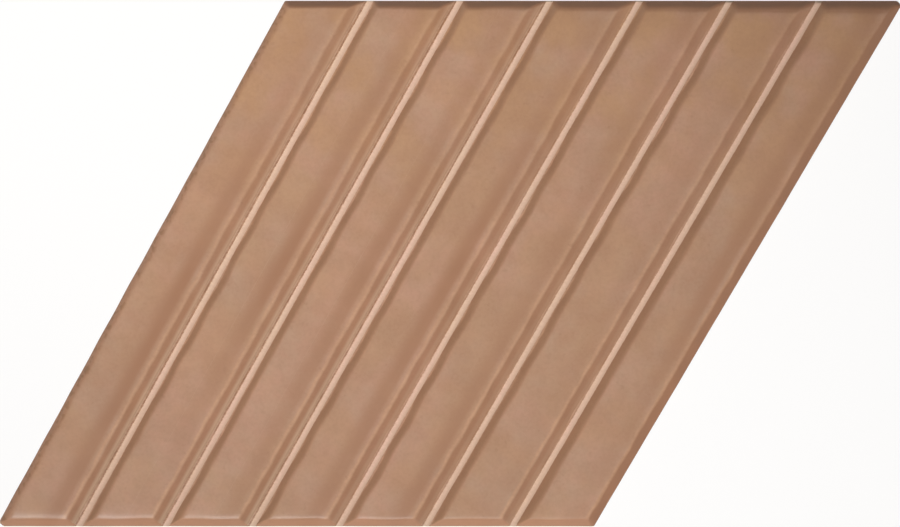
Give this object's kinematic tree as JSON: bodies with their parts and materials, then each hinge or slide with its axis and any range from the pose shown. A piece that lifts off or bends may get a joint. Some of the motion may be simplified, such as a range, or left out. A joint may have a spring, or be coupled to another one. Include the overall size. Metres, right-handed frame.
{
  "type": "ceramic wall tile",
  "caption": "Rhombus wall tile with slanting bevelled bars and recessed pale joint strips, satin glazed face and keyed back.",
  "frame": {"origin": "centre of the tile's back, on the plane that the tile is bedded on", "axes": "+X along the two end edges, +Y across them towards the far end of the bars, which slant from lower left to upper right, +Z out of the glazed face"},
  "size_m": [0.2262, 0.1316, 0.009],
  "materials": {
    "glaze": "satin clay-pink glaze with pale matt joint strips"
  },
  "bodies": {
    "root": {"tile": "glaze"}
  },
  "joints": []
}
